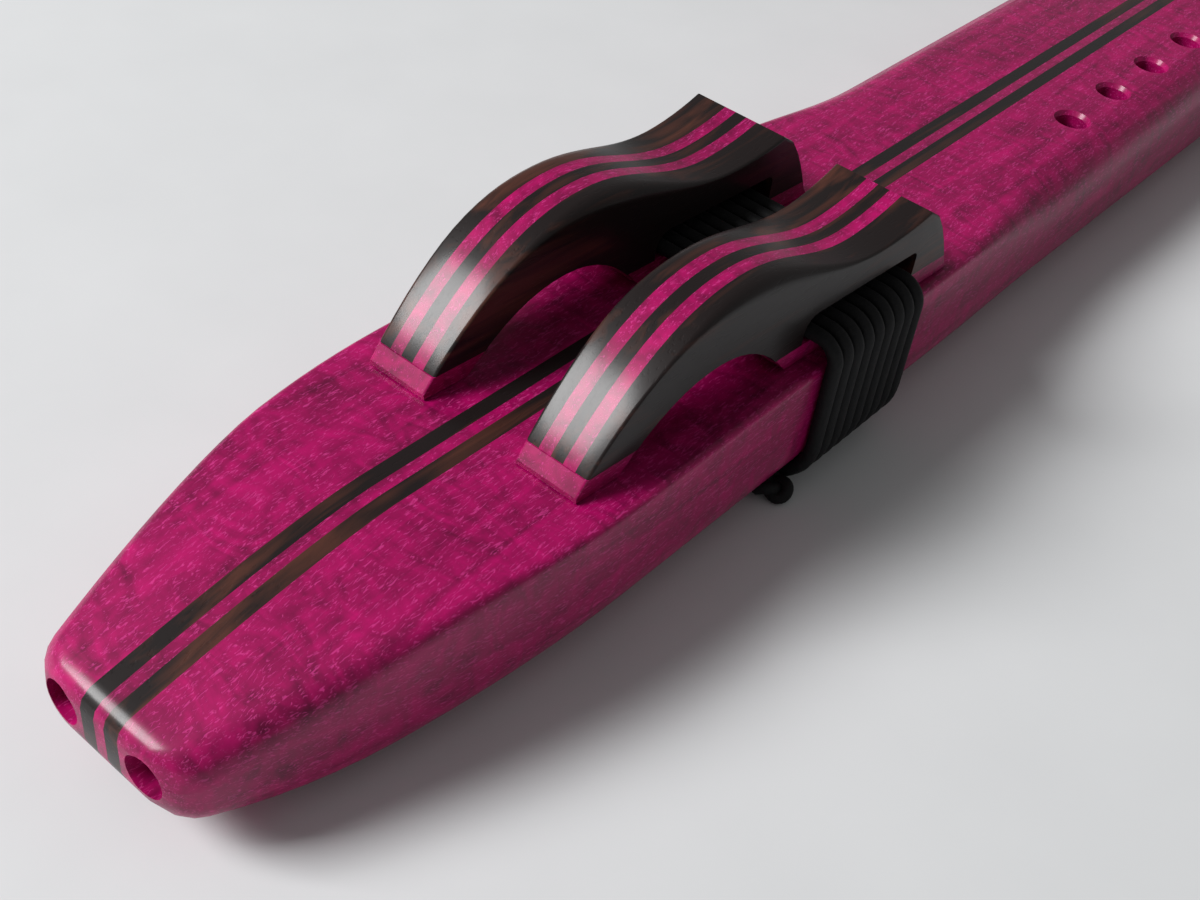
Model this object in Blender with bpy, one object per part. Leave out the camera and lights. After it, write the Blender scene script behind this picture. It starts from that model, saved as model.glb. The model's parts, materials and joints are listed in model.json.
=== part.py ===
"""Double drone flute: two bores side by side in one carved body, two tied blocks.

The long axis is X, with the blowing end at -X and the open foot at +X.
+Y is the drone side and -Y the melody side, which has the finger holes.
Z is up, and z = 0 is the table that the lacing and the foot lie on.
Heights inside the body are given as depths below the flat top.
"""
import math

import bpy
import bmesh
from mathutils import Vector

MM = 0.001

# Joints between glued or seated pieces
GLUE_GAP = 0.3 * MM

# Bores, which set the width and the depth of the body
BORE_DIAMETER = 19.0 * MM
BORE_SPACING = 35.2 * MM
SIDE_WALL = 4.65 * MM
TOP_WALL = 5.0 * MM
BELLY_WALL = 4.2 * MM

# Accent strips between the two tubes
STRIPE_THICKNESS = 3.175 * MM
CENTRE_STRIP_THICKNESS = 2.38 * MM

# Blowing end
MOUTH_HALF_WIDTH = 17.0 * MM
MOUTH_TOP_DEPTH = 9.3 * MM
MOUTH_BELLY_DEPTH = 22.3 * MM
MOUTH_PLAN_RADIUS = 5.5 * MM
MOUTH_TOP_RADIUS = 2.5 * MM
MOUTH_BELLY_RADIUS = 3.5 * MM
MOUTH_HOLE_DIAMETER = 7.94 * MM
MOUTH_HOLE_SPACING = 19.3 * MM
MOUTH_HOLE_DEPTH = 15.2 * MM

# Lengths of the stretches that swell out from the blowing end
SHOULDER_LENGTH = 84.0 * MM
TOP_FALL_LENGTH = 53.9 * MM
BELLY_RISE_LENGTH = 36.0 * MM
EDGE_SOFTENING_LENGTH = 71.0 * MM
SHOULDER_POWER = 1.75
TOP_FALL_POWER = 1.4

# Edge radii of the body's section
SHOULDER_EDGE_RADIUS = 5.5 * MM
NEST_EDGE_RADIUS = 1.5 * MM
PLAYING_EDGE_RADIUS = 9.5 * MM
MOUTH_BELLY_CORNER = 5.0 * MM
BELLY_CORNER = 10.0 * MM
WAIST_DEPTH = 0.75 * MM
PLAYING_EDGE_START = 4.0 * MM
PLAYING_EDGE_LENGTH = 48.0 * MM
FOOT_EDGE_RADIUS = 1.5 * MM

# Places along the body
BLOCK_FROM_MOUTH = 75.9 * MM
CHAMBER_FROM_MOUTH = 48.0 * MM
CHAMBER_WALL_LENGTH = 14.0 * MM
SOUND_HOLE_GAP = 0.5 * MM
SOUND_HOLE_LENGTH = 5.8 * MM
SOUND_HOLE_WIDTH = 9.5 * MM
SOUND_BORE_LEAD = 12.0 * MM
EXIT_HOLE_LENGTH = 8.0 * MM
FLUE_DEPTH = 0.9 * MM
SPLITTING_EDGE = 0.8 * MM
SPLITTING_RAMP_LENGTH = 6.5 * MM

# Finger holes, on the melody side only
FINGER_HOLE_COUNT = 6
FINGER_HOLE_SPACING = 21.87 * MM
FINGER_HOLE_DIAMETER = 7.5 * MM
FINGER_DISH_DIAMETER = 9.0 * MM
FINGER_DISH_DEPTH = 1.0 * MM
FIRST_HOLE_FROM_EDGE = 73.6 * MM
FOOT_FROM_LAST_HOLE = 67.1 * MM

# Blocks, whose outline is measured from the tail
BLOCK_LENGTH = 108.7 * MM
BLOCK_TAIL_WIDTH = 13.5 * MM
BLOCK_FRONT_WIDTH = 24.0 * MM
BLOCK_CREST_HEIGHT = 25.0 * MM
BLOCK_CREST_FROM_TAIL = 41.0 * MM
BLOCK_VALLEY_HEIGHT = 16.3 * MM
BLOCK_VALLEY_FROM_TAIL = 80.0 * MM
BLOCK_PEAK_HEIGHT = 18.3 * MM
BLOCK_PEAK_FROM_TAIL = 96.5 * MM
BLOCK_TAIL_BLUNTNESS = 1.0 * MM
BLOCK_TAIL_POWER = 2.2
BLOCK_FRONT_POWER = 1.7
BLOCK_EDGE_RADIUS = 0.6 * MM
BLOCK_CREST_EDGE_RADIUS = 3.2 * MM
BLOCK_LEAST_HEIGHT = 0.5 * MM
LAMINATION = 2.7 * MM
SOLE_HEIGHT = 4.0 * MM

# Arch window through each block
ARCH_FROM_TAIL = 10.0 * MM
ARCH_SPAN = 45.6 * MM
ARCH_APEX = 24.0 * MM
ARCH_HEIGHT = 12.1 * MM
ARCH_POWER = 2.1

# Slot that the lacing passes through
SLOT_LENGTH = 35.6 * MM
SLOT_HEIGHT = 6.0 * MM
SLOT_REAR_RADIUS = 3.4 * MM
SLOT_FRONT_RADIUS = 1.5 * MM
ARCH_TO_SLOT = 3.8 * MM

# Lacing
LACE_DIAMETER = 3.0 * MM
LACE_TURNS = 9
LACE_TURN_GAP = 0.55 * MM
LACE_REAR_CLEARANCE = 1.4 * MM
LACE_TOP_BEND = 4.5 * MM
LACE_FLAT_SHARE = 0.1
LACE_LEAST_SELF_GAP = 0.4 * MM
LACE_END_LENGTH = 6.0 * MM
KNOT_LENGTH = 9.6 * MM
KNOT_WIDTH = 9.0 * MM
KNOT_HEIGHT = 4.6 * MM
KNOT_HOLD = 3.0 * MM
KNOT_SHIFT = 1.0 * MM

# Facet counts
BORE_SIDES = 28
HOLE_SIDES = 20
EDGE_STEPS = 4
CORNER_STEPS = 6
STATION_STEP = 5.0 * MM
LONG_STEP = 40.0 * MM
BLOCK_STEP = 3.0 * MM
OVERCUT = 2.0 * MM

# Values that follow from the sizes above
BORE_RADIUS = BORE_DIAMETER / 2
BORE_OFFSET = BORE_SPACING / 2
BORE_DEPTH = TOP_WALL + BORE_RADIUS
HALF_WIDTH = BORE_OFFSET + BORE_RADIUS + SIDE_WALL
NEST_BELLY_DEPTH = TOP_WALL + BORE_DIAMETER + BELLY_WALL
LACE_RADIUS = LACE_DIAMETER / 2
LACE_FLAT = LACE_DIAMETER * LACE_FLAT_SHARE
TOP_HEIGHT = NEST_BELLY_DEPTH + GLUE_GAP + LACE_DIAMETER - LACE_FLAT
FOOT_BELLY_DEPTH = TOP_HEIGHT

SOUND_HOLE_FROM_MOUTH = BLOCK_FROM_MOUTH + BLOCK_LENGTH + SOUND_HOLE_GAP
EDGE_FROM_MOUTH = SOUND_HOLE_FROM_MOUTH + SOUND_HOLE_LENGTH
LAST_HOLE_FROM_EDGE = FIRST_HOLE_FROM_EDGE + (FINGER_HOLE_COUNT - 1) * FINGER_HOLE_SPACING
FLUTE_LENGTH = EDGE_FROM_MOUTH + LAST_HOLE_FROM_EDGE + FOOT_FROM_LAST_HOLE
MOUTH_X = -FLUTE_LENGTH / 2
FOOT_X = FLUTE_LENGTH / 2
BLOCK_X = MOUTH_X + BLOCK_FROM_MOUTH
BLOCK_TOE_X = BLOCK_X + BLOCK_LENGTH
SOUND_HOLE_X = MOUTH_X + SOUND_HOLE_FROM_MOUTH
SPLITTING_EDGE_X = MOUTH_X + EDGE_FROM_MOUTH
SOUND_BORE_X = SOUND_HOLE_X - SOUND_BORE_LEAD
CHAMBER_START_X = MOUTH_X + CHAMBER_FROM_MOUTH
CHAMBER_END_X = SOUND_BORE_X - CHAMBER_WALL_LENGTH
EXIT_HOLE_X = CHAMBER_END_X - EXIT_HOLE_LENGTH
PLAYING_X = BLOCK_TOE_X + PLAYING_EDGE_START

ARCH_X = BLOCK_X + ARCH_FROM_TAIL
SLOT_X = ARCH_X + ARCH_SPAN + ARCH_TO_SLOT
BLOCK_BASE = TOP_HEIGHT + GLUE_GAP
SOLE_TOP = TOP_HEIGHT + SOLE_HEIGHT
SLOT_TOP = SOLE_TOP + SLOT_HEIGHT
STRIP_EDGE = CENTRE_STRIP_THICKNESS / 2 + STRIPE_THICKNESS
LACE_PITCH = LACE_DIAMETER + LACE_TURN_GAP
FIRST_TURN_X = SLOT_X + LACE_REAR_CLEARANCE + LACE_RADIUS

DRONE = 1
MELODY = -1


def clear_scene():
    """Remove whatever the file opened with."""
    for obj in list(bpy.data.objects):
        bpy.data.objects.remove(obj, do_unlink=True)


def wood(name, colour, roughness):
    """Oiled wood or leather as a plain Principled material."""
    mat = bpy.data.materials.new(name)
    mat.use_nodes = True
    shader = mat.node_tree.nodes["Principled BSDF"]
    shader.inputs["Base Color"].default_value = (*colour, 1.0)
    shader.inputs["Roughness"].default_value = roughness
    shader.inputs["Metallic"].default_value = 0.0
    mat.diffuse_color = (*colour, 1.0)
    return mat


def smooth_step(value):
    """Ease from 0 to 1 with level ends."""
    value = min(max(value, 0.0), 1.0)
    return value * value * (3 - 2 * value)


def quarter_inset(distance, radius):
    """How far a quarter-round edge is drawn in at a distance from its end."""
    if distance >= radius:
        return 0.0
    return radius - math.sqrt(radius ** 2 - (radius - distance) ** 2)


def arc(centre, radius, start, end, steps):
    """Points on an arc in a plane, angles in degrees."""
    points = []
    for step in range(steps + 1):
        angle = math.radians(start + (end - start) * step / steps)
        points.append((centre[0] + radius * math.cos(angle),
                       centre[1] + radius * math.sin(angle)))
    return points


def spread(start, end, step):
    """Evenly spaced stations from start to end, no further apart than step."""
    count = max(1, math.ceil((end - start) / step - 1e-6))
    return [start + (end - start) * index / count for index in range(count + 1)]


def mesh_object(name, bm, mat):
    """Make a scene object of a finished bmesh, with its faces pointing out."""
    bmesh.ops.recalc_face_normals(bm, faces=bm.faces)
    mesh = bpy.data.meshes.new(name)
    bm.to_mesh(mesh)
    bm.free()
    obj = bpy.data.objects.new(name, mesh)
    bpy.context.scene.collection.objects.link(obj)
    if mat is not None:
        mesh.materials.append(mat)
    return obj


def loft(name, rings, mat=None):
    """Skin a row of rings that have the same number of points, and cap its ends."""
    bm = bmesh.new()
    loops = [[bm.verts.new(point) for point in ring] for ring in rings]
    for near, far in zip(loops, loops[1:]):
        count = len(near)
        for index in range(count):
            after = (index + 1) % count
            bm.faces.new((near[index], near[after], far[after], far[index]))
    bm.faces.new(loops[0])
    bm.faces.new(loops[-1])
    return mesh_object(name, bm, mat)


def prism(name, outline, low, high):
    """Extrude an outline of (x, z) points from y = low to y = high."""
    bm = bmesh.new()
    face = bm.faces.new([bm.verts.new((x, low, z)) for x, z in outline])
    grown = bmesh.ops.extrude_face_region(bm, geom=[face])
    moved = [item for item in grown["geom"] if isinstance(item, bmesh.types.BMVert)]
    bmesh.ops.translate(bm, verts=moved, vec=(0, high - low, 0))
    return mesh_object(name, bm, None)


def box(name, low, high):
    """A box between two corners."""
    bm = bmesh.new()
    bmesh.ops.create_cube(bm, size=1.0)
    size = [top - bottom for bottom, top in zip(low, high)]
    centre = [(top + bottom) / 2 for bottom, top in zip(low, high)]
    bmesh.ops.scale(bm, verts=bm.verts, vec=size)
    bmesh.ops.translate(bm, verts=bm.verts, vec=centre)
    return mesh_object(name, bm, None)


def turned(name, profile, origin, direction, sides):
    """Turn a profile of (distance, radius) about a line through origin."""
    along = Vector(direction).normalized()
    side = along.orthogonal().normalized()
    other = along.cross(side)
    rings = []
    for distance, radius in profile:
        ring = []
        for index in range(sides):
            angle = 2 * math.pi * (index + 0.5) / sides
            spoke = side * math.cos(angle) + other * math.sin(angle)
            ring.append(Vector(origin) + along * distance + spoke * radius)
        rings.append(ring)
    return loft(name, rings)


def settle(obj):
    """Turn an object's modifiers into its mesh."""
    bpy.context.view_layer.update()
    evaluated = obj.evaluated_get(bpy.context.evaluated_depsgraph_get())
    mesh = bpy.data.meshes.new_from_object(evaluated)
    obj.modifiers.clear()
    if obj.type == "MESH":
        obj.data = mesh
        return obj
    solid = bpy.data.objects.new(obj.name + "_solid", mesh)
    bpy.context.scene.collection.objects.link(solid)
    return solid


def cut(obj, cutter, operation="DIFFERENCE"):
    """Cut an object with a cutter, or keep only what both hold."""
    modifier = obj.modifiers.new(operation.lower(), "BOOLEAN")
    modifier.operation = operation
    modifier.solver = "EXACT"
    modifier.object = cutter
    settle(obj)


def piece(blank, name, low, high, mat):
    """The share of a blank that lies between two corners, as its own object."""
    part = bpy.data.objects.new(name, blank.data.copy())
    bpy.context.scene.collection.objects.link(part)
    slab = box(name + "_slab", low, high)
    cut(part, slab, "INTERSECT")
    bpy.data.objects.remove(slab, do_unlink=True)
    part.data.materials.clear()
    part.data.materials.append(mat)
    part.data.shade_smooth()
    part.data.set_sharp_from_angle(angle=math.radians(30))
    return part


def discard(*helpers):
    """Take helper solids out of the file once they have done their work."""
    for helper in helpers:
        bpy.data.objects.remove(helper, do_unlink=True)


# The body's section, station by station

def half_width(x):
    """Half the body's width, from the narrow blowing end to the playing part."""
    run = max(0.0, 1 - (x - MOUTH_X) / SHOULDER_LENGTH)
    width = HALF_WIDTH - (HALF_WIDTH - MOUTH_HALF_WIDTH) * run ** SHOULDER_POWER
    width -= WAIST_DEPTH * smooth_step((x - PLAYING_X) / PLAYING_EDGE_LENGTH)
    width -= quarter_inset(x - MOUTH_X, MOUTH_PLAN_RADIUS)
    return width - quarter_inset(FOOT_X - x, FOOT_EDGE_RADIUS)


def top_depth(x):
    """Depth of the top, which is flat but for its fall to the blowing end."""
    run = max(0.0, 1 - (x - MOUTH_X) / TOP_FALL_LENGTH)
    depth = MOUTH_TOP_DEPTH * run ** TOP_FALL_POWER
    depth += quarter_inset(x - MOUTH_X, MOUTH_TOP_RADIUS)
    return depth + quarter_inset(FOOT_X - x, FOOT_EDGE_RADIUS)


def belly_depth(x):
    """Depth of the belly, which falls from the blocks to the foot."""
    run = max(0.0, 1 - (x - MOUTH_X) / BELLY_RISE_LENGTH)
    depth = NEST_BELLY_DEPTH - (NEST_BELLY_DEPTH - MOUTH_BELLY_DEPTH) * run ** 2
    fall = max(0.0, (x - BLOCK_TOE_X) / (FOOT_X - BLOCK_TOE_X))
    depth += (FOOT_BELLY_DEPTH - NEST_BELLY_DEPTH) * fall
    return depth - quarter_inset(x - MOUTH_X, MOUTH_BELLY_RADIUS)


def edge_radius(x):
    """Radius of the top edge: soft at the mouth, crisp at the blocks, then round."""
    rear = smooth_step((x - MOUTH_X) / EDGE_SOFTENING_LENGTH)
    front = smooth_step((x - PLAYING_X) / PLAYING_EDGE_LENGTH)
    radius = SHOULDER_EDGE_RADIUS + (NEST_EDGE_RADIUS - SHOULDER_EDGE_RADIUS) * rear
    return radius + (PLAYING_EDGE_RADIUS - NEST_EDGE_RADIUS) * front


def belly_radius(x):
    """Radius of the belly's long corners."""
    run = smooth_step((x - MOUTH_X) / SHOULDER_LENGTH)
    return MOUTH_BELLY_CORNER + (BELLY_CORNER - MOUTH_BELLY_CORNER) * run


def body_ring(x):
    """The closed outline of the body at one station."""
    width = half_width(x)
    top = TOP_HEIGHT - top_depth(x)
    belly = TOP_HEIGHT - belly_depth(x)
    room = 0.48 * (top - belly)
    edge = min(edge_radius(x), room)
    corner = min(belly_radius(x), room)
    side = arc((width - corner, belly + corner), corner, -90, 0, CORNER_STEPS)
    side += arc((width - edge, top - edge), edge, 0, 90, EDGE_STEPS)
    outline = side + [(-y, z) for y, z in reversed(side)]
    return [(x, y, z) for y, z in outline]


def body_stations():
    """Stations along the body, close where it curves and far where it is straight."""
    nose = [MOUTH_X + MOUTH_PLAN_RADIUS * (1 - math.cos(math.radians(angle)))
            for angle in (0, 25, 50, 70, 90)]
    stations = nose
    stations += spread(nose[-1], MOUTH_X + SHOULDER_LENGTH, STATION_STEP)[1:]
    stations += spread(stations[-1], PLAYING_X, LONG_STEP)[1:]
    stations += spread(PLAYING_X, PLAYING_X + PLAYING_EDGE_LENGTH, STATION_STEP)[1:]
    stations += spread(stations[-1], FOOT_X - FOOT_EDGE_RADIUS, LONG_STEP)[1:]
    stations += [FOOT_X - FOOT_EDGE_RADIUS * (1 - math.sin(math.radians(angle)))
                 for angle in (45, 90)]
    return stations


# The hollows that are cut in the body

def capsule(length, radius, steps, open_end):
    """Profile of a bore with a ball end, and a second one unless it is open."""
    rise = [(radius - radius * math.cos(math.radians(90 * step / steps)),
             max(radius * math.sin(math.radians(90 * step / steps)), radius * 0.05))
            for step in range(steps + 1)]
    if open_end:
        return rise + [(length, radius)]
    fall = [(length - distance, value) for distance, value in reversed(rise)]
    return rise + fall


def tube_hollows(side):
    """Cutters for one tube: breath hole, slow air chamber, flue and sound bore."""
    y = side * BORE_OFFSET
    z = TOP_HEIGHT - BORE_DEPTH
    half = SOUND_HOLE_WIDTH / 2
    hollows = []

    breath_start = Vector((MOUTH_X, side * MOUTH_HOLE_SPACING / 2, TOP_HEIGHT - MOUTH_HOLE_DEPTH))
    breath_end = Vector((CHAMBER_START_X + BORE_RADIUS / 2, y, z))
    reach = (breath_end - breath_start).length
    hole = [(-OVERCUT, MOUTH_HOLE_DIAMETER / 2), (reach, MOUTH_HOLE_DIAMETER / 2)]
    hollows.append(turned("breath_hole", hole, breath_start, breath_end - breath_start,
                          HOLE_SIDES))

    chamber = capsule(CHAMBER_END_X - CHAMBER_START_X, BORE_RADIUS, 4, False)
    hollows.append(turned("slow_air_chamber", chamber, (CHAMBER_START_X, y, z), (1, 0, 0),
                          BORE_SIDES))
    bore = capsule(FOOT_X + OVERCUT - SOUND_BORE_X, BORE_RADIUS, 4, True)
    hollows.append(turned("sound_bore", bore, (SOUND_BORE_X, y, z), (1, 0, 0), BORE_SIDES))

    hollows.append(box("exit_hole", (EXIT_HOLE_X, y - half, z),
                       (CHAMBER_END_X, y + half, TOP_HEIGHT + OVERCUT)))
    flue_start = EXIT_HOLE_X + EXIT_HOLE_LENGTH / 2
    hollows.append(box("flue", (flue_start, y - half, TOP_HEIGHT - FLUE_DEPTH),
                       (SOUND_HOLE_X + OVERCUT / 2, y + half, TOP_HEIGHT + OVERCUT)))
    ramp_top = TOP_HEIGHT - SPLITTING_EDGE
    ramp_foot = z + BORE_RADIUS / 2
    outline = [(SOUND_HOLE_X, TOP_HEIGHT + OVERCUT), (SOUND_HOLE_X, ramp_foot),
               (SPLITTING_EDGE_X + SPLITTING_RAMP_LENGTH, ramp_foot),
               (SPLITTING_EDGE_X + SPLITTING_RAMP_LENGTH, TOP_HEIGHT - TOP_WALL),
               (SPLITTING_EDGE_X, ramp_top), (SPLITTING_EDGE_X, TOP_HEIGHT + OVERCUT)]
    hollows.append(prism("sound_hole", outline, y - half, y + half))
    return hollows


def finger_holes():
    """Dished holes in the melody tube, which meet its bore."""
    radius = FINGER_HOLE_DIAMETER / 2
    rim = FINGER_DISH_DIAMETER / 2
    flare = (rim - radius) / FINGER_DISH_DEPTH
    profile = [(-OVERCUT, rim + flare * OVERCUT), (FINGER_DISH_DEPTH, radius), (BORE_DEPTH, radius)]
    holes = []
    for index in range(FINGER_HOLE_COUNT):
        x = SPLITTING_EDGE_X + FIRST_HOLE_FROM_EDGE + index * FINGER_HOLE_SPACING
        holes.append(turned("finger_hole", profile, (x, MELODY * BORE_OFFSET, TOP_HEIGHT),
                            (0, 0, -1), HOLE_SIDES))
    return holes


def build_body(purpleheart, walnut):
    """Upper and lower halves of both tubes, and the three strips between them."""
    blank = loft("body_blank", [body_ring(x) for x in body_stations()])
    parting = TOP_HEIGHT - BORE_DEPTH
    reach = HALF_WIDTH + OVERCUT
    half_gap = GLUE_GAP / 2
    ends = (MOUTH_X - OVERCUT, FOOT_X + OVERCUT)
    low_z = -OVERCUT
    high_z = TOP_HEIGHT + OVERCUT

    for side, label in ((DRONE, "drone"), (MELODY, "melody")):
        inner, outer = sorted((side * (STRIP_EDGE + half_gap), side * reach))
        hollows = tube_hollows(side)
        upper = piece(blank, label + "_tube_upper", (ends[0], inner, parting + half_gap),
                      (ends[1], outer, high_z), purpleheart)
        lower = piece(blank, label + "_tube_lower", (ends[0], inner, low_z),
                      (ends[1], outer, parting - half_gap), purpleheart)
        for hollow in hollows:
            cut(upper, hollow)
        for hollow in hollows[:3]:
            cut(lower, hollow)
        discard(*hollows)
        if side == MELODY:
            holes = finger_holes()
            for hole in holes:
                cut(upper, hole)
            discard(*holes)

    centre = CENTRE_STRIP_THICKNESS / 2
    strips = (("drone_side_stripe", centre + half_gap, STRIP_EDGE - half_gap, walnut),
              ("centre_strip", -centre + half_gap, centre - half_gap, purpleheart),
              ("melody_side_stripe", -STRIP_EDGE + half_gap, -centre - half_gap, walnut))
    for name, low_y, high_y, mat in strips:
        piece(blank, name, (ends[0], low_y, low_z), (ends[1], high_y, high_z), mat)
    discard(blank)


# The blocks

def block_height(distance):
    """Height of a block's top above the flat, by distance from its tail."""
    if distance <= BLOCK_CREST_FROM_TAIL:
        run = (BLOCK_CREST_FROM_TAIL - distance) / (BLOCK_CREST_FROM_TAIL + BLOCK_TAIL_BLUNTNESS)
        return BLOCK_CREST_HEIGHT * (1 - run ** BLOCK_TAIL_POWER)
    if distance <= BLOCK_VALLEY_FROM_TAIL:
        run = (distance - BLOCK_CREST_FROM_TAIL) / (BLOCK_VALLEY_FROM_TAIL - BLOCK_CREST_FROM_TAIL)
        fall = (1 + math.cos(math.pi * run)) / 2
        return BLOCK_VALLEY_HEIGHT + (BLOCK_CREST_HEIGHT - BLOCK_VALLEY_HEIGHT) * fall
    if distance <= BLOCK_PEAK_FROM_TAIL:
        run = (distance - BLOCK_VALLEY_FROM_TAIL) / (BLOCK_PEAK_FROM_TAIL - BLOCK_VALLEY_FROM_TAIL)
        return BLOCK_VALLEY_HEIGHT + (BLOCK_PEAK_HEIGHT - BLOCK_VALLEY_HEIGHT) * run ** 2
    run = (distance - BLOCK_PEAK_FROM_TAIL) / (BLOCK_LENGTH - BLOCK_PEAK_FROM_TAIL)
    return BLOCK_PEAK_HEIGHT * (1 - min(run, 1.0) ** BLOCK_FRONT_POWER)


def block_ring(distance, centre):
    """The closed outline of a block at one distance from its tail."""
    share = distance / BLOCK_LENGTH
    width = (BLOCK_TAIL_WIDTH + (BLOCK_FRONT_WIDTH - BLOCK_TAIL_WIDTH) * share) / 2
    height = max(block_height(distance), BLOCK_LEAST_HEIGHT + GLUE_GAP)
    swell = smooth_step(1 - abs(distance / BLOCK_CREST_FROM_TAIL - 1.15) / 0.75)
    edge = BLOCK_EDGE_RADIUS + (BLOCK_CREST_EDGE_RADIUS - BLOCK_EDGE_RADIUS) * swell
    edge = min(edge, (height - GLUE_GAP) / 2)
    top = TOP_HEIGHT + height
    side = [(width, BLOCK_BASE)] + arc((width - edge, top - edge), edge, 0, 90, EDGE_STEPS)
    outline = side + [(-y, z) for y, z in reversed(side)]
    return [(BLOCK_X + distance, centre + y, z) for y, z in outline]


def arch_outline():
    """The window between the tail foot and the front foot, open at the bottom."""
    outline = [(ARCH_X, TOP_HEIGHT - OVERCUT)]
    steps = 8
    for reach, order in ((-ARCH_APEX, range(steps, 0, -1)),
                         (ARCH_SPAN - ARCH_APEX, range(0, steps + 1))):
        for step in order:
            share = step / steps
            rise = ARCH_HEIGHT * (1 - share ** ARCH_POWER)
            outline.append((ARCH_X + ARCH_APEX + reach * share, TOP_HEIGHT + rise))
    outline.append((ARCH_X + ARCH_SPAN, TOP_HEIGHT - OVERCUT))
    return outline


def slot_outline():
    """The window above the front sole that the lacing passes through."""
    front = SLOT_X + SLOT_LENGTH
    rear_centre = (SLOT_X + SLOT_REAR_RADIUS, SLOT_TOP - SLOT_REAR_RADIUS)
    front_centre = (front - SLOT_FRONT_RADIUS, SLOT_TOP - SLOT_FRONT_RADIUS)
    outline = [(front, SOLE_TOP)] + arc(front_centre, SLOT_FRONT_RADIUS, 0, 90, 3)
    outline += arc(rear_centre, SLOT_REAR_RADIUS, 90, 180, 4) + [(SLOT_X, SOLE_TOP)]
    return outline


def build_block(side, label, purpleheart, walnut):
    """One block: a sole in two feet, and five upright laminations on it."""
    centre = side * BORE_OFFSET
    front_steps = (0.3, 0.5, 0.68, 0.82, 0.92, 1.0)
    distances = spread(0.0, BLOCK_PEAK_FROM_TAIL, BLOCK_STEP)
    nose = BLOCK_LENGTH - BLOCK_PEAK_FROM_TAIL
    distances += [BLOCK_PEAK_FROM_TAIL + nose * share for share in front_steps]
    blank = loft("block_blank", [block_ring(distance, centre) for distance in distances])

    reach = BLOCK_FRONT_WIDTH / 2 + OVERCUT
    arch = prism("arch", arch_outline(), centre - reach, centre + reach)
    slot = prism("slot", slot_outline(), centre - reach, centre + reach)
    cut(blank, arch)
    cut(blank, slot)

    half_gap = GLUE_GAP / 2
    ends = (BLOCK_X - OVERCUT, BLOCK_TOE_X + OVERCUT)
    middle = ARCH_X + ARCH_APEX
    sole_low = TOP_HEIGHT - OVERCUT
    sole_high = SOLE_TOP - half_gap
    piece(blank, label + "_block_tail_sole", (ends[0], centre - reach, sole_low),
          (middle, centre + reach, sole_high), purpleheart)
    piece(blank, label + "_block_front_sole", (middle, centre - reach, sole_low),
          (ends[1], centre + reach, sole_high), purpleheart)

    layers = ("outer_dark_layer", "outer_red_layer", "core_dark_layer",
              "inner_red_layer", "inner_dark_layer")
    bounds = (reach, 1.5 * LAMINATION, 0.5 * LAMINATION,
              -0.5 * LAMINATION, -1.5 * LAMINATION, -reach)
    for index, layer in enumerate(layers):
        outer = centre + side * (bounds[index] - half_gap)
        inner = centre + side * (bounds[index + 1] + half_gap)
        low_y, high_y = sorted((outer, inner))
        mat = purpleheart if "red" in layer else walnut
        piece(blank, label + "_block_" + layer, (ends[0], low_y, SOLE_TOP + half_gap),
              (ends[1], high_y, TOP_HEIGHT + BLOCK_CREST_HEIGHT + OVERCUT), mat)
    discard(blank, arch, slot)


# The lacing

def lace_turn():
    """One turn of the lacing in (y, z), from the drone belly corner round the top."""
    side_y = HALF_WIDTH + GLUE_GAP + LACE_RADIUS
    belly_z = TOP_HEIGHT - NEST_BELLY_DEPTH - GLUE_GAP - LACE_RADIUS
    top_z = SOLE_TOP + GLUE_GAP + LACE_RADIUS
    low_bend = BELLY_CORNER + GLUE_GAP + LACE_RADIUS
    low_centre = (side_y - low_bend, belly_z + low_bend)
    top_centre = (side_y - LACE_TOP_BEND, top_z - LACE_TOP_BEND)
    drone = arc(low_centre, low_bend, -90, 0, 5)
    drone += arc(top_centre, LACE_TOP_BEND, 0, 90, 4)
    drone.append((top_centre[0] / 3, top_z))
    return drone + [(-y, z) for y, z in reversed(drone)]


def lace_route():
    """Centre line of the whole lacing, knot to knot, in one row of points.

    Each turn stands square to the body on its sides and top, and steps on to
    the next turn where it crosses the belly.
    """
    turn = lace_turn()
    corner_y, belly_z = turn[0]
    end_y = corner_y + LACE_END_LENGTH
    points = [(FIRST_TURN_X - LACE_PITCH, -end_y, belly_z),
              (FIRST_TURN_X - LACE_PITCH, -corner_y, belly_z)]
    for index in range(LACE_TURNS):
        x = FIRST_TURN_X + index * LACE_PITCH
        points += [(x, y, z) for y, z in turn]
    last_x = FIRST_TURN_X + LACE_TURNS * LACE_PITCH
    points += [(last_x, corner_y, belly_z), (last_x, end_y, belly_z)]
    return points


def least_self_gap(points):
    """Least clear distance between stretches of the lacing that aren't neighbours."""
    fine = []
    for start, end in zip(points, points[1:]):
        start, end = Vector(start), Vector(end)
        count = max(1, math.ceil((end - start).length / (LACE_RADIUS * 1.2)))
        fine += [start.lerp(end, step / count) for step in range(count)]
    along = [0.0]
    for start, end in zip(fine, fine[1:]):
        along.append(along[-1] + (end - start).length)
    least = math.inf
    for index, point in enumerate(fine):
        for other in range(index + 1, len(fine)):
            if along[other] - along[index] > 4 * LACE_DIAMETER:
                least = min(least, (point - fine[other]).length)
    return least - LACE_DIAMETER


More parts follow.
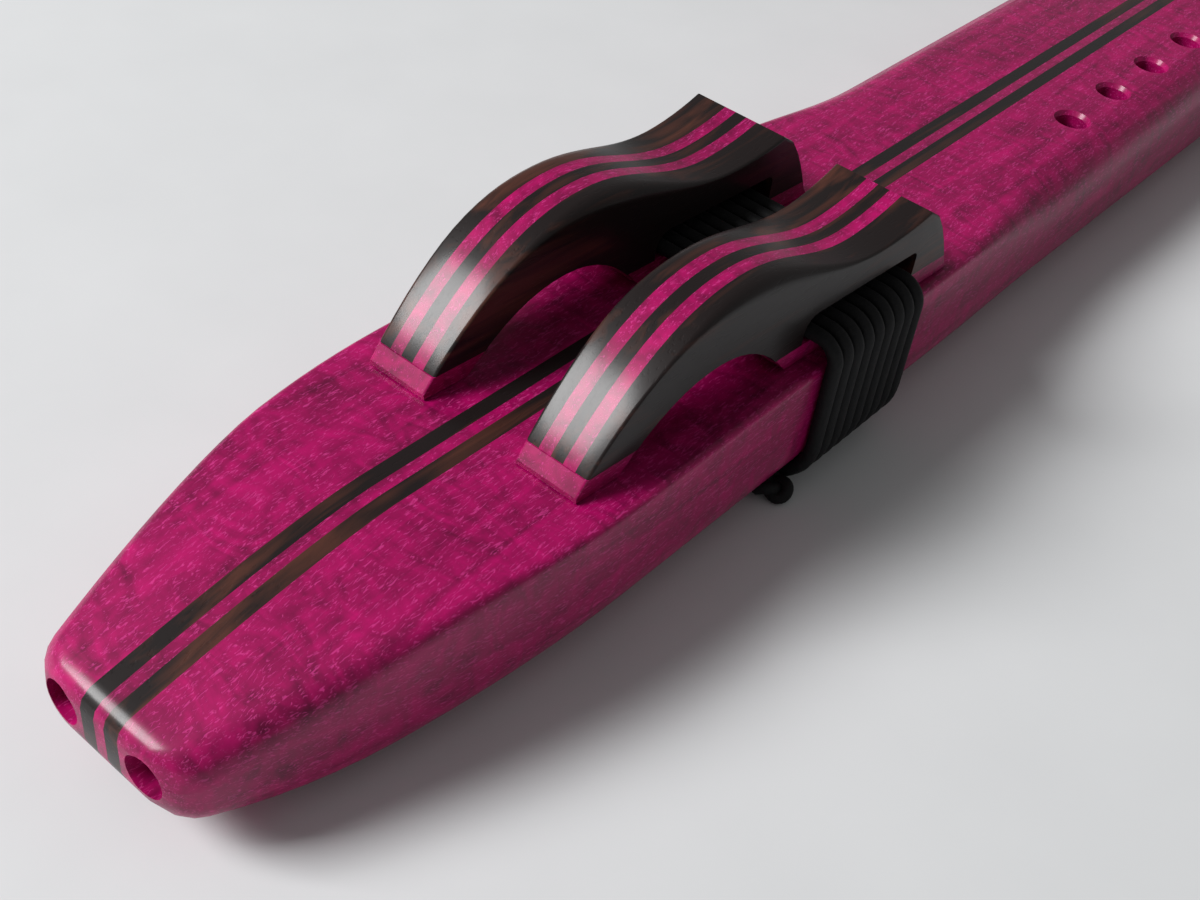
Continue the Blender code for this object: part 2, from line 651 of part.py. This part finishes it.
def lace_tube(name, points, radius):
    """A tube of one radius along the lacing's route, as a mesh."""
    curve = bpy.data.curves.new(name + "_route", "CURVE")
    curve.dimensions = "3D"
    curve.bevel_depth = radius
    curve.bevel_resolution = 1
    curve.use_fill_caps = True
    spline = curve.splines.new("POLY")
    spline.points.add(len(points) - 1)
    for target, point in zip(spline.points, points):
        target.co = (*point, 1.0)
    route = bpy.data.objects.new(name + "_route", curve)
    bpy.context.scene.collection.objects.link(route)
    solid = settle(route)
    bm = bmesh.new()
    bm.from_mesh(solid.data)
    bmesh.ops.remove_doubles(bm, verts=bm.verts, dist=1e-6)
    discard(route, solid)
    return mesh_object(name, bm, None)


def build_knot(name, x, y, sleeve, leather):
    """A drawn-tight knot on the table at a belly corner, hollowed for the lacing."""
    bm = bmesh.new()
    bmesh.ops.create_icosphere(bm, subdivisions=2, radius=0.5)
    bmesh.ops.scale(bm, verts=bm.verts, vec=(KNOT_LENGTH, KNOT_WIDTH, KNOT_HEIGHT))
    bmesh.ops.translate(bm, verts=bm.verts, vec=(x, y, KNOT_HEIGHT / 2))
    knot = mesh_object(name, bm, leather)
    cut(knot, sleeve)
    knot.data.shade_smooth()
    return knot


def build_lacing(leather):
    """The lacing as one tube through both slots and round the body, and its knots."""
    points = lace_route()
    lacing = lace_tube("lacing", points, LACE_RADIUS)
    lacing.data.materials.append(leather)
    reach = HALF_WIDTH + 2 * LACE_DIAMETER
    table = box("table", (FIRST_TURN_X - 4 * LACE_PITCH, -reach, -LACE_DIAMETER),
                (FIRST_TURN_X + (LACE_TURNS + 4) * LACE_PITCH, reach, 0.0))
    cut(lacing, table)
    lacing.data.shade_smooth()
    lacing.data.set_sharp_from_angle(angle=math.radians(50))

    gap = least_self_gap(points)
    print("lacing: least gap to itself %.2f mm, wanted over %.2f mm"
          % (gap / MM, LACE_LEAST_SELF_GAP / MM))
    sleeve = lace_tube("sleeve", points, LACE_RADIUS + GLUE_GAP)
    knot_y = points[-1][1] - KNOT_HOLD + KNOT_WIDTH / 2
    build_knot("melody_side_knot", points[0][0] - KNOT_SHIFT, -knot_y, sleeve, leather)
    build_knot("drone_side_knot", points[-1][0] + KNOT_SHIFT, knot_y, sleeve, leather)
    discard(sleeve, table)


def main():
    """Build every piece of the flute."""
    clear_scene()
    purpleheart = wood("purpleheart", (0.42, 0.004, 0.14), 0.38)
    walnut = wood("dark_walnut", (0.035, 0.024, 0.022), 0.42)
    leather = wood("black_leather", (0.008, 0.008, 0.009), 0.75)
    build_body(purpleheart, walnut)
    for side, label in ((DRONE, "drone"), (MELODY, "melody")):
        build_block(side, label, purpleheart, walnut)
    build_lacing(leather)


if __name__ == "__main__":
    main()
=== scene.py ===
"""Finish, light and camera for the laminated double drone flute."""
import json
import math

import bmesh
import bpy
from mathutils import Matrix, Vector


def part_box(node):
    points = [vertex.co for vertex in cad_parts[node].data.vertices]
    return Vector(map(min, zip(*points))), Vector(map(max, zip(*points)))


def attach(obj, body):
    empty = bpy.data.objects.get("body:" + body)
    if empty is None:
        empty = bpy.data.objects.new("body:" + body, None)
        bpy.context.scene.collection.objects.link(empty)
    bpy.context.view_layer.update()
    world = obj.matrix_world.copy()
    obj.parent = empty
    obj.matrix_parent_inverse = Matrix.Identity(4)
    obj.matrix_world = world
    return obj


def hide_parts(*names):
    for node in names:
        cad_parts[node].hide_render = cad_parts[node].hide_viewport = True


bl_info = {
    "name": "Double drone flute",
    "version": (1, 0, 0),
    "blender": (4, 5, 0),
    "location": "View3D > Sidebar > Flute",
    "description": "Finishes the body, blocks and lacing of a double drone flute",
    "category": "Object",
}

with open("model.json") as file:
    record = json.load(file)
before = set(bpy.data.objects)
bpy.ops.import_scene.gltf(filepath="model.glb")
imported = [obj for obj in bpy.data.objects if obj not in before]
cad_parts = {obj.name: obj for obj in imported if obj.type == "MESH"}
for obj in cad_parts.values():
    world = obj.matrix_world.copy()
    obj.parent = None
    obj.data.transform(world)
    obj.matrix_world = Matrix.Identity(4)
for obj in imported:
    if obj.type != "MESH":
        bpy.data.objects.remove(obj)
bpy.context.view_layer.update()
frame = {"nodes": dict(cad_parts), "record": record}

# Glued joints, which the scene closes
GLUE_GAP = 0.0003
GAP_TOLERANCE = 0.00004
WELD_DISTANCE = 1e-6
SHARP_ANGLE = math.radians(32)

# A Mix node has sockets of the same names for each type, so its colours go by index
MIX_COLOURS = (6, 7)
MIX_RESULT = 2

# Patterns of the finishes, as noise scales along X, Y and Z
PURPLE_GRAIN = (22, 260, 260)
PURPLE_FIGURE = (150, 70, 70)
PURPLE_PORES = (520, 2300, 2300)
DARK_GRAIN = (16, 420, 420)
DARK_PATCH = (28, 60, 60)
DARK_PORES = (300, 1600, 1600)
LEATHER_PEBBLE = (1400, 1400, 1400)
LEATHER_WEAR = (180, 180, 180)
FLOOR_MOTTLE = (30, 30, 30)

# Oil film on the woods, and relief in metres
OIL_SPECULAR = 0.15
OIL_COAT = 0.4
OIL_ROUGHNESS = 0.22
LEATHER_SPECULAR = 0.25
WOOD_RELIEF = 0.00008
LEATHER_RELIEF = 0.00015
RELIEF_STRENGTH = 0.6
GRAIN_RISE = 0.3
PORE_SINK = 0.7
PORE_PALENESS = 0.4

# Lacing route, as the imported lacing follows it
LACE_TURNS = 9
LACE_PITCH = 0.00355
LACE_TOP_BEND = 0.0045
LACE_LOW_BEND = 0.0118
LACE_END_LENGTH = 0.006
LACE_BELLY_SHARE = 0.4
LOW_BEND_STEPS = 14
TOP_BEND_STEPS = 10
TUBE_RESOLUTION = 4
KNOT_TUBE_SHARE = 0.29
KNOT_STEPS = 60

# Camera of the photograph
CAMERA_PLACE = Vector((-0.2947, -0.1330, 0.2066))
CAMERA_RIGHT = Vector((0.648, -0.754, 0.110))
CAMERA_AHEAD = Vector((0.615, 0.432, -0.660))
CAMERA_LENS = 46.87
CAMERA_SENSOR = 36.0
CAMERA_CLIP = 0.01

# Stage
FLOOR_SIZE = 3.4
FLOOR_DARK = (0.66, 0.67, 0.68)
FLOOR_PALE = (0.72, 0.73, 0.74)
FLOOR_ROUGHNESS = 0.7
WINDOW_PLACE = Vector((-1.76, 1.50, 1.95))
WINDOW_SIZE = 1.2

BODY_NODES = frame["record"]["behaviour"]["bodies"]["flute_body"]
WOODEN_BODY = [node for node in BODY_NODES if "lacing" not in node and "knot" not in node]


class Socket:
    """A shader socket that can be used in sums."""

    def __init__(self, tree, output):
        self.tree = tree
        self.output = output

    def math(self, operation, first, second, clamp=False):
        """The result of a Math node on two sockets or numbers."""
        node = self.tree.nodes.new("ShaderNodeMath")
        node.operation = operation
        node.use_clamp = clamp
        for socket, value in zip(node.inputs, (first, second)):
            if isinstance(value, Socket):
                self.tree.links.new(value.output, socket)
            else:
                socket.default_value = value
        return Socket(self.tree, node.outputs[0])

    def __add__(self, other):
        return self.math("ADD", self, other)

    def __sub__(self, other):
        return self.math("SUBTRACT", self, other)

    def __rsub__(self, other):
        return self.math("SUBTRACT", other, self)

    def __mul__(self, other):
        return self.math("MULTIPLY", self, other)

    __radd__ = __add__
    __rmul__ = __mul__

    def above(self, level, softness):
        """0 below a level, 1 a softness above it."""
        return self.math("MULTIPLY", self - level, 1 / softness, clamp=True)


class Finish:
    """A material and the nodes that it is built from."""

    def __init__(self, name):
        self.material = bpy.data.materials.new(name)
        self.material.use_nodes = True
        self.tree = self.material.node_tree
        self.shader = self.tree.nodes["Principled BSDF"]
        self.place = self.node("ShaderNodeTexCoord", {}, {}).outputs["Object"]

    def node(self, kind, settings, values):
        """A node of a type, with its settings set before its sockets."""
        made = self.tree.nodes.new(kind)
        for name, value in settings.items():
            setattr(made, name, value)
        for name, value in values.items():
            self.feed(made.inputs[name], value)
        return made

    def feed(self, socket, value):
        """Link a socket to a value, or set it to a plain one."""
        if isinstance(value, Socket):
            self.tree.links.new(value.output, socket)
        elif isinstance(value, bpy.types.NodeSocket):
            self.tree.links.new(value, socket)
        else:
            socket.default_value = value

    def noise(self, stretch, detail, distortion=0.0):
        """Noise whose grains are stretched by a scale on each axis."""
        mapping = self.node("ShaderNodeMapping", {}, {"Vector": self.place, "Scale": stretch})
        made = self.node("ShaderNodeTexNoise", {}, {"Vector": mapping.outputs["Vector"], "Scale": 1.0,
                                                    "Detail": detail, "Distortion": distortion})
        return Socket(self.tree, made.outputs["Fac"])

    def blend(self, share, first, second):
        """The first colour at a share of 0, the second at 1."""
        made = self.node("ShaderNodeMix", {"data_type": "RGBA"}, {})
        self.feed(made.inputs["Factor"], share)
        for index, value in zip(MIX_COLOURS, (first, second)):
            self.feed(made.inputs[index], value)
        return made.outputs[MIX_RESULT]

    def look(self, **values):
        """Feed the shader's sockets, named with underscores for spaces."""
        for name, value in values.items():
            self.feed(self.shader.inputs[name.replace("_", " ")], value)

    def satin(self):
        """The thin oil film that takes a broad highlight."""
        self.look(Specular_IOR_Level=OIL_SPECULAR, Coat_Weight=OIL_COAT, Coat_Roughness=OIL_ROUGHNESS)

    def relief(self, height, distance):
        """Raise the surface where a pattern is high."""
        made = self.node("ShaderNodeBump", {}, {"Height": height, "Distance": distance,
                                                "Strength": RELIEF_STRENGTH})
        self.look(Normal=made.outputs["Normal"])

    def wood_relief(self, grain, pores):
        """Ridges of grain with the pores sunk into them."""
        self.relief(grain * GRAIN_RISE - pores * PORE_SINK, WOOD_RELIEF)


def rgba(colour):
    """A colour with full alpha."""
    return (*colour, 1.0)


def purpleheart(settings):
    """Oiled purpleheart: stripes of grain, cross figure, and short pale pores."""
    finish = Finish("oiled_purpleheart")
    grain = finish.noise(PURPLE_GRAIN, detail=6.0, distortion=0.8)
    figure = finish.noise(PURPLE_FIGURE, detail=3.0, distortion=2.6)
    pores = finish.noise(PURPLE_PORES, detail=2.0, distortion=1.2).above(level=0.57, softness=0.09)
    tone = (grain * 1.1 + figure * 0.9).above(level=0.62, softness=0.75)
    base = finish.blend(tone, rgba(settings.purple_deep), rgba(settings.purple_bright))
    finish.satin()
    finish.look(Base_Color=finish.blend(pores * PORE_PALENESS, base, rgba(settings.purple_pore)),
                Roughness=0.42 + figure * 0.18)
    finish.wood_relief(grain, pores)
    return finish.material


def dark_wood(settings):
    """Near-black wood with warm streaks along the grain."""
    finish = Finish("oiled_dark_walnut")
    grain = finish.noise(DARK_GRAIN, detail=6.0, distortion=0.5)
    patch = finish.noise(DARK_PATCH, detail=2.0, distortion=0.8)
    pores = finish.noise(DARK_PORES, detail=2.0).above(level=0.60, softness=0.08)
    streaks = (grain * patch * 2.6).above(level=0.60, softness=0.5)
    finish.satin()
    finish.look(Base_Color=finish.blend(streaks, rgba(settings.dark_deep), rgba(settings.dark_warm)),
                Roughness=0.44 + grain * 0.16)
    finish.wood_relief(grain, pores)
    return finish.material


def leather(settings):
    """Matte black lace leather with a fine pebble."""
    finish = Finish("black_lace_leather")
    pebble = finish.noise(LEATHER_PEBBLE, detail=3.0)
    wear = finish.noise(LEATHER_WEAR, detail=2.0)
    worn = tuple(min(1.0, channel * 3 + 0.01) for channel in settings.leather_colour)
    finish.look(Base_Color=finish.blend(wear * pebble, rgba(settings.leather_colour), rgba(worn)),
                Roughness=0.58 + wear * 0.2, Specular_IOR_Level=LEATHER_SPECULAR)
    finish.relief(pebble, LEATHER_RELIEF)
    return finish.material


def glue_planes(nodes):
    """For each node, the planes on which it meets a glued neighbour."""
    planes = {node: [] for node in nodes}
    for lower in nodes:
        for upper in nodes:
            for axis in (1, 2):
                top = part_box(lower)[1][axis]
                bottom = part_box(upper)[0][axis]
                if abs(bottom - top - GLUE_GAP) < GAP_TOLERANCE:
                    plane = (axis, (top + bottom) / 2)
                    planes[lower].append(plane)
                    planes[upper].append(plane)
    return planes


def finished_copy(node, planes, material, body):
    """A welded copy of a node whose glued faces reach those of its neighbours."""
    bm = bmesh.new()
    bm.from_mesh(frame["nodes"][node].data)
    bmesh.ops.remove_doubles(bm, verts=bm.verts, dist=WELD_DISTANCE)
    for axis, plane in planes:
        for vert in bm.verts:
            if abs(vert.co[axis] - plane) < GLUE_GAP / 2 + GAP_TOLERANCE:
                vert.co[axis] = plane
    mesh = bpy.data.meshes.new(node + "_finish")
    bm.to_mesh(mesh)
    bm.free()
    for name in ("custom_normal", "sharp_face", "sharp_edge"):
        if name in mesh.attributes:
            mesh.attributes.remove(mesh.attributes[name])
    mesh.shade_smooth()
    mesh.set_sharp_from_angle(angle=SHARP_ANGLE)
    place(node + "_finish", mesh, material, body, node)


def place(name, mesh, material, body, node):
    """Link a finished mesh, and let it stand for its node."""
    mesh.materials.clear()
    mesh.materials.append(material)
    obj = bpy.data.objects.new(name, mesh)
    bpy.context.scene.collection.objects.link(obj)
    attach(obj, body)
    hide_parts(node)


def finish_woods(nodes, body):
    """Finish each wooden node of a group in its own wood."""
    settings = bpy.context.scene.flute_finish
    woods = {"purpleheart": material_named("oiled_purpleheart", purpleheart, settings),
             "dark_walnut": material_named("oiled_dark_walnut", dark_wood, settings)}
    slots = {row["node"]: row["material_slot"] for row in frame["record"]["subparts"]}
    planes = glue_planes(nodes)
    for node in nodes:
        finished_copy(node, planes[node], woods[slots[node]], body)


def material_named(name, make, settings):
    """A material that has been made, or a new one."""
    return bpy.data.materials.get(name) or make(settings)


def arc(centre, radius, start, end, steps):
    """Points on an arc, angles in degrees."""
    angles = [math.radians(start + (end - start) * step / steps) for step in range(steps + 1)]
    return [(centre[0] + radius * math.cos(angle), centre[1] + radius * math.sin(angle))
            for angle in angles]


def lace_route(radius):
    """The lacing's centre line, turn after turn, from knot to knot."""
    low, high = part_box("lacing")
    side = high.y - radius
    top = high.z - radius
    belly = LACE_BELLY_SHARE * 2 * radius
    first_x = low.x + radius + LACE_PITCH
    low_centre = (side - LACE_LOW_BEND, belly + LACE_LOW_BEND)
    top_centre = (side - LACE_TOP_BEND, top - LACE_TOP_BEND)
    half = arc(low_centre, LACE_LOW_BEND, -90, 0, LOW_BEND_STEPS)
    half += arc(top_centre, LACE_TOP_BEND, 0, 90, TOP_BEND_STEPS)
    turn = half + [(-y, z) for y, z in reversed(half)]
    end_y = low_centre[0] + LACE_END_LENGTH
    points = [(first_x - LACE_PITCH, -end_y, belly), (first_x - LACE_PITCH, -low_centre[0], belly)]
    for index in range(LACE_TURNS):
        points += [(first_x + index * LACE_PITCH, y, z) for y, z in turn]
    last_x = first_x + LACE_TURNS * LACE_PITCH
    return points + [(last_x, low_centre[0], belly), (last_x, end_y, belly)]


def tube_mesh(name, points, radius, closed):
    """A round tube along points, flattened where it lies on the table."""
    curve = bpy.data.curves.new(name, "CURVE")
    curve.dimensions = "3D"
    curve.bevel_depth = radius
    curve.bevel_resolution = TUBE_RESOLUTION
    curve.use_fill_caps = not closed
    spline = curve.splines.new("POLY")
    spline.use_cyclic_u = closed
    spline.points.add(len(points) - 1)
    for target, point in zip(spline.points, points):
        target.co = (*point, 1.0)
    route = bpy.data.objects.new(name + "_route", curve)
    bpy.context.scene.collection.objects.link(route)
    bpy.context.view_layer.update()
    evaluated = route.evaluated_get(bpy.context.evaluated_depsgraph_get())
    mesh = bpy.data.meshes.new_from_object(evaluated)
    bpy.data.objects.remove(route, do_unlink=True)
    bm = bmesh.new()
    bm.from_mesh(mesh)
    bmesh.ops.remove_doubles(bm, verts=bm.verts, dist=WELD_DISTANCE)
    for vert in bm.verts:
        vert.co.z = max(vert.co.z, 0.0)
    bmesh.ops.recalc_face_normals(bm, faces=bm.faces)
    bm.to_mesh(mesh)
    bm.free()
    mesh.shade_smooth()
    return mesh


def knot_points(node):
    """An overhand knot's line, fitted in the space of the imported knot."""
    low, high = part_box(node)
    centre = (low + high) / 2
    radius = (high.z - low.z) * KNOT_TUBE_SHARE
    reach = [(high[axis] - low[axis]) / 2 - radius for axis in range(3)]
    points = []
    for step in range(KNOT_STEPS):
        angle = 2 * math.pi * step / KNOT_STEPS
        points.append((centre.x + reach[0] * (math.sin(angle) + 2 * math.sin(2 * angle)) / 3,
                       centre.y + reach[1] * (math.cos(angle) - 2 * math.cos(2 * angle)) / 3,
                       centre.z - reach[2] * math.sin(3 * angle)))
    return points, radius


class FluteFinish(bpy.types.PropertyGroup):
    """Colours and sizes that a user would change."""

    purple_deep: bpy.props.FloatVectorProperty(
        name="Deep purple", description="Dark tone of the purpleheart", subtype="COLOR",
        default=(0.12, 0.0, 0.032), min=0, max=1)
    purple_bright: bpy.props.FloatVectorProperty(
        name="Bright purple", description="Bright tone of the purpleheart", subtype="COLOR",
        default=(0.46, 0.0, 0.120), min=0, max=1)
    purple_pore: bpy.props.FloatVectorProperty(
        name="Pore", description="Pale flecks in the purpleheart", subtype="COLOR",
        default=(0.78, 0.06, 0.33), min=0, max=1)
    dark_deep: bpy.props.FloatVectorProperty(
        name="Dark wood", description="Ground tone of the dark wood", subtype="COLOR",
        default=(0.010, 0.006, 0.006), min=0, max=1)
    dark_warm: bpy.props.FloatVectorProperty(
        name="Warm streak", description="Brown streaks of the dark wood", subtype="COLOR",
        default=(0.070, 0.022, 0.014), min=0, max=1)
    leather_colour: bpy.props.FloatVectorProperty(
        name="Leather", description="Colour of the lacing", subtype="COLOR",
        default=(0.0025, 0.0025, 0.003), min=0, max=1)
    lace_diameter: bpy.props.FloatProperty(
        name="Lace diameter", description="Thickness of the lacing", unit="LENGTH",
        default=0.003)
    window_power: bpy.props.FloatProperty(
        name="Window power", description="Power of the large soft lamp", unit="POWER", default=112.0)
    room_light: bpy.props.FloatProperty(
        name="Room light", description="Strength of the light from all round", subtype="FACTOR",
        default=0.20, min=0, max=1)


class FLUTE_OT_body(bpy.types.Operator):
    """Finish both tubes and the strips between them"""

    bl_idname = "flute.body"
    bl_label = "Finish the body"

    def execute(self, context):
        finish_woods(WOODEN_BODY, "flute_body")
        return {"FINISHED"}


class FLUTE_OT_blocks(bpy.types.Operator):
    """Finish the soles and laminations of both blocks"""

    bl_idname = "flute.blocks"
    bl_label = "Finish the blocks"

    def execute(self, context):
        for body in ("drone_block", "melody_block"):
            finish_woods(frame["record"]["behaviour"]["bodies"][body], body)
        return {"FINISHED"}


class FLUTE_OT_lacing(bpy.types.Operator):
    """Wind the leather lacing and tie its knots"""

    bl_idname = "flute.lacing"
    bl_label = "Wind the lacing"

    def execute(self, context):
        settings = context.scene.flute_finish
        material = material_named("black_lace_leather", leather, settings)
        radius = settings.lace_diameter / 2
        mesh = tube_mesh("leather_lacing", lace_route(radius), radius, False)
        place("leather_lacing", mesh, material, "flute_body", "lacing")
        for node in ("melody_side_knot", "drone_side_knot"):
            points, knot_radius = knot_points(node)
            mesh = tube_mesh(node + "_tied", points, knot_radius, True)
            place(node + "_tied", mesh, material, "flute_body", node)
        return {"FINISHED"}


class FLUTE_OT_stage(bpy.types.Operator):
    """Lay the floor, and place the lamp and the camera"""

    bl_idname = "flute.stage"
    bl_label = "Set the stage"

    def execute(self, context):
        settings = context.scene.flute_finish
        lay_floor()
        light_room(settings.room_light)
        hang_window(settings.window_power)
        aim_camera()
        context.scene.view_settings.view_transform = "Standard"
        return {"FINISHED"}


def lay_floor():
    """A plain pale floor under the flute."""
    bm = bmesh.new()
    bmesh.ops.create_grid(bm, x_segments=1, y_segments=1, size=FLOOR_SIZE / 2)
    mesh = bpy.data.meshes.new("floor")
    bm.to_mesh(mesh)
    bm.free()
    floor = bpy.data.objects.new("floor", mesh)
    bpy.context.scene.collection.objects.link(floor)
    finish = Finish("pale_floor")
    mottle = finish.noise(FLOOR_MOTTLE, detail=5.0)
    finish.look(Base_Color=finish.blend(mottle, rgba(FLOOR_DARK), rgba(FLOOR_PALE)),
                Roughness=FLOOR_ROUGHNESS)
    mesh.materials.append(finish.material)


def light_room(strength):
    """Even light from all round, seen as white."""
    world = bpy.data.worlds.new("room")
    bpy.context.scene.world = world
    world.use_nodes = True
    tree = world.node_tree
    background = tree.nodes["Background"]
    background.inputs["Color"].default_value = (1, 1, 1, 1)
    path = tree.nodes.new("ShaderNodeLightPath")
    seen = Socket(tree, path.outputs["Is Camera Ray"])
    tree.links.new((seen * (1 - strength) + strength).output, background.inputs["Strength"])


def hang_window(power):
    """One large soft lamp, past the blowing end on the drone side."""
    lamp = bpy.data.lights.new("window", "AREA")
    lamp.energy = power
    lamp.size = WINDOW_SIZE
    window = bpy.data.objects.new("window", lamp)
    window.location = WINDOW_PLACE
    window.rotation_euler = (-WINDOW_PLACE).to_track_quat("-Z", "Y").to_euler()
    bpy.context.scene.collection.objects.link(window)


def aim_camera():
    """Take the photograph's place and angle."""
    ahead = CAMERA_AHEAD.normalized()
    right = (CAMERA_RIGHT - ahead * CAMERA_RIGHT.dot(ahead)).normalized()
    turn = Matrix((right, right.cross(ahead), -ahead)).transposed()
    data = bpy.data.cameras.new("camera")
    data.sensor_width = CAMERA_SENSOR
    data.lens = CAMERA_LENS
    data.clip_start = CAMERA_CLIP
    camera = bpy.data.objects.new("camera", data)
    camera.matrix_world = Matrix.Translation(CAMERA_PLACE) @ turn.to_4x4()
    bpy.context.scene.collection.objects.link(camera)
    bpy.context.scene.camera = camera


class FLUTE_PT_panel(bpy.types.Panel):
    """Buttons for each part of the flute"""

    bl_label = "Double drone flute"
    bl_idname = "FLUTE_PT_panel"
    bl_space_type = "VIEW_3D"
    bl_region_type = "UI"
    bl_category = "Flute"

    def draw(self, context):
        for name in FluteFinish.__annotations__:
            self.layout.prop(context.scene.flute_finish, name)
        for operator in OPERATORS:
            self.layout.operator(operator.bl_idname)


OPERATORS = (FLUTE_OT_body, FLUTE_OT_blocks, FLUTE_OT_lacing, FLUTE_OT_stage)
CLASSES = (FluteFinish, *OPERATORS, FLUTE_PT_panel)


def register():
    """Register the classes and give the scene its settings."""
    for item in CLASSES:
        bpy.utils.register_class(item)
    bpy.types.Scene.flute_finish = bpy.props.PointerProperty(type=FluteFinish)


def unregister():
    """Take the settings and the classes away again."""
    del bpy.types.Scene.flute_finish
    for item in reversed(CLASSES):
        bpy.utils.unregister_class(item)


def main():
    """Register the classes and run the operators."""
    register()
    bpy.ops.flute.body()
    bpy.ops.flute.blocks()
    bpy.ops.flute.lacing()
    bpy.ops.flute.stage()


if __name__ == "__main__":
    main()
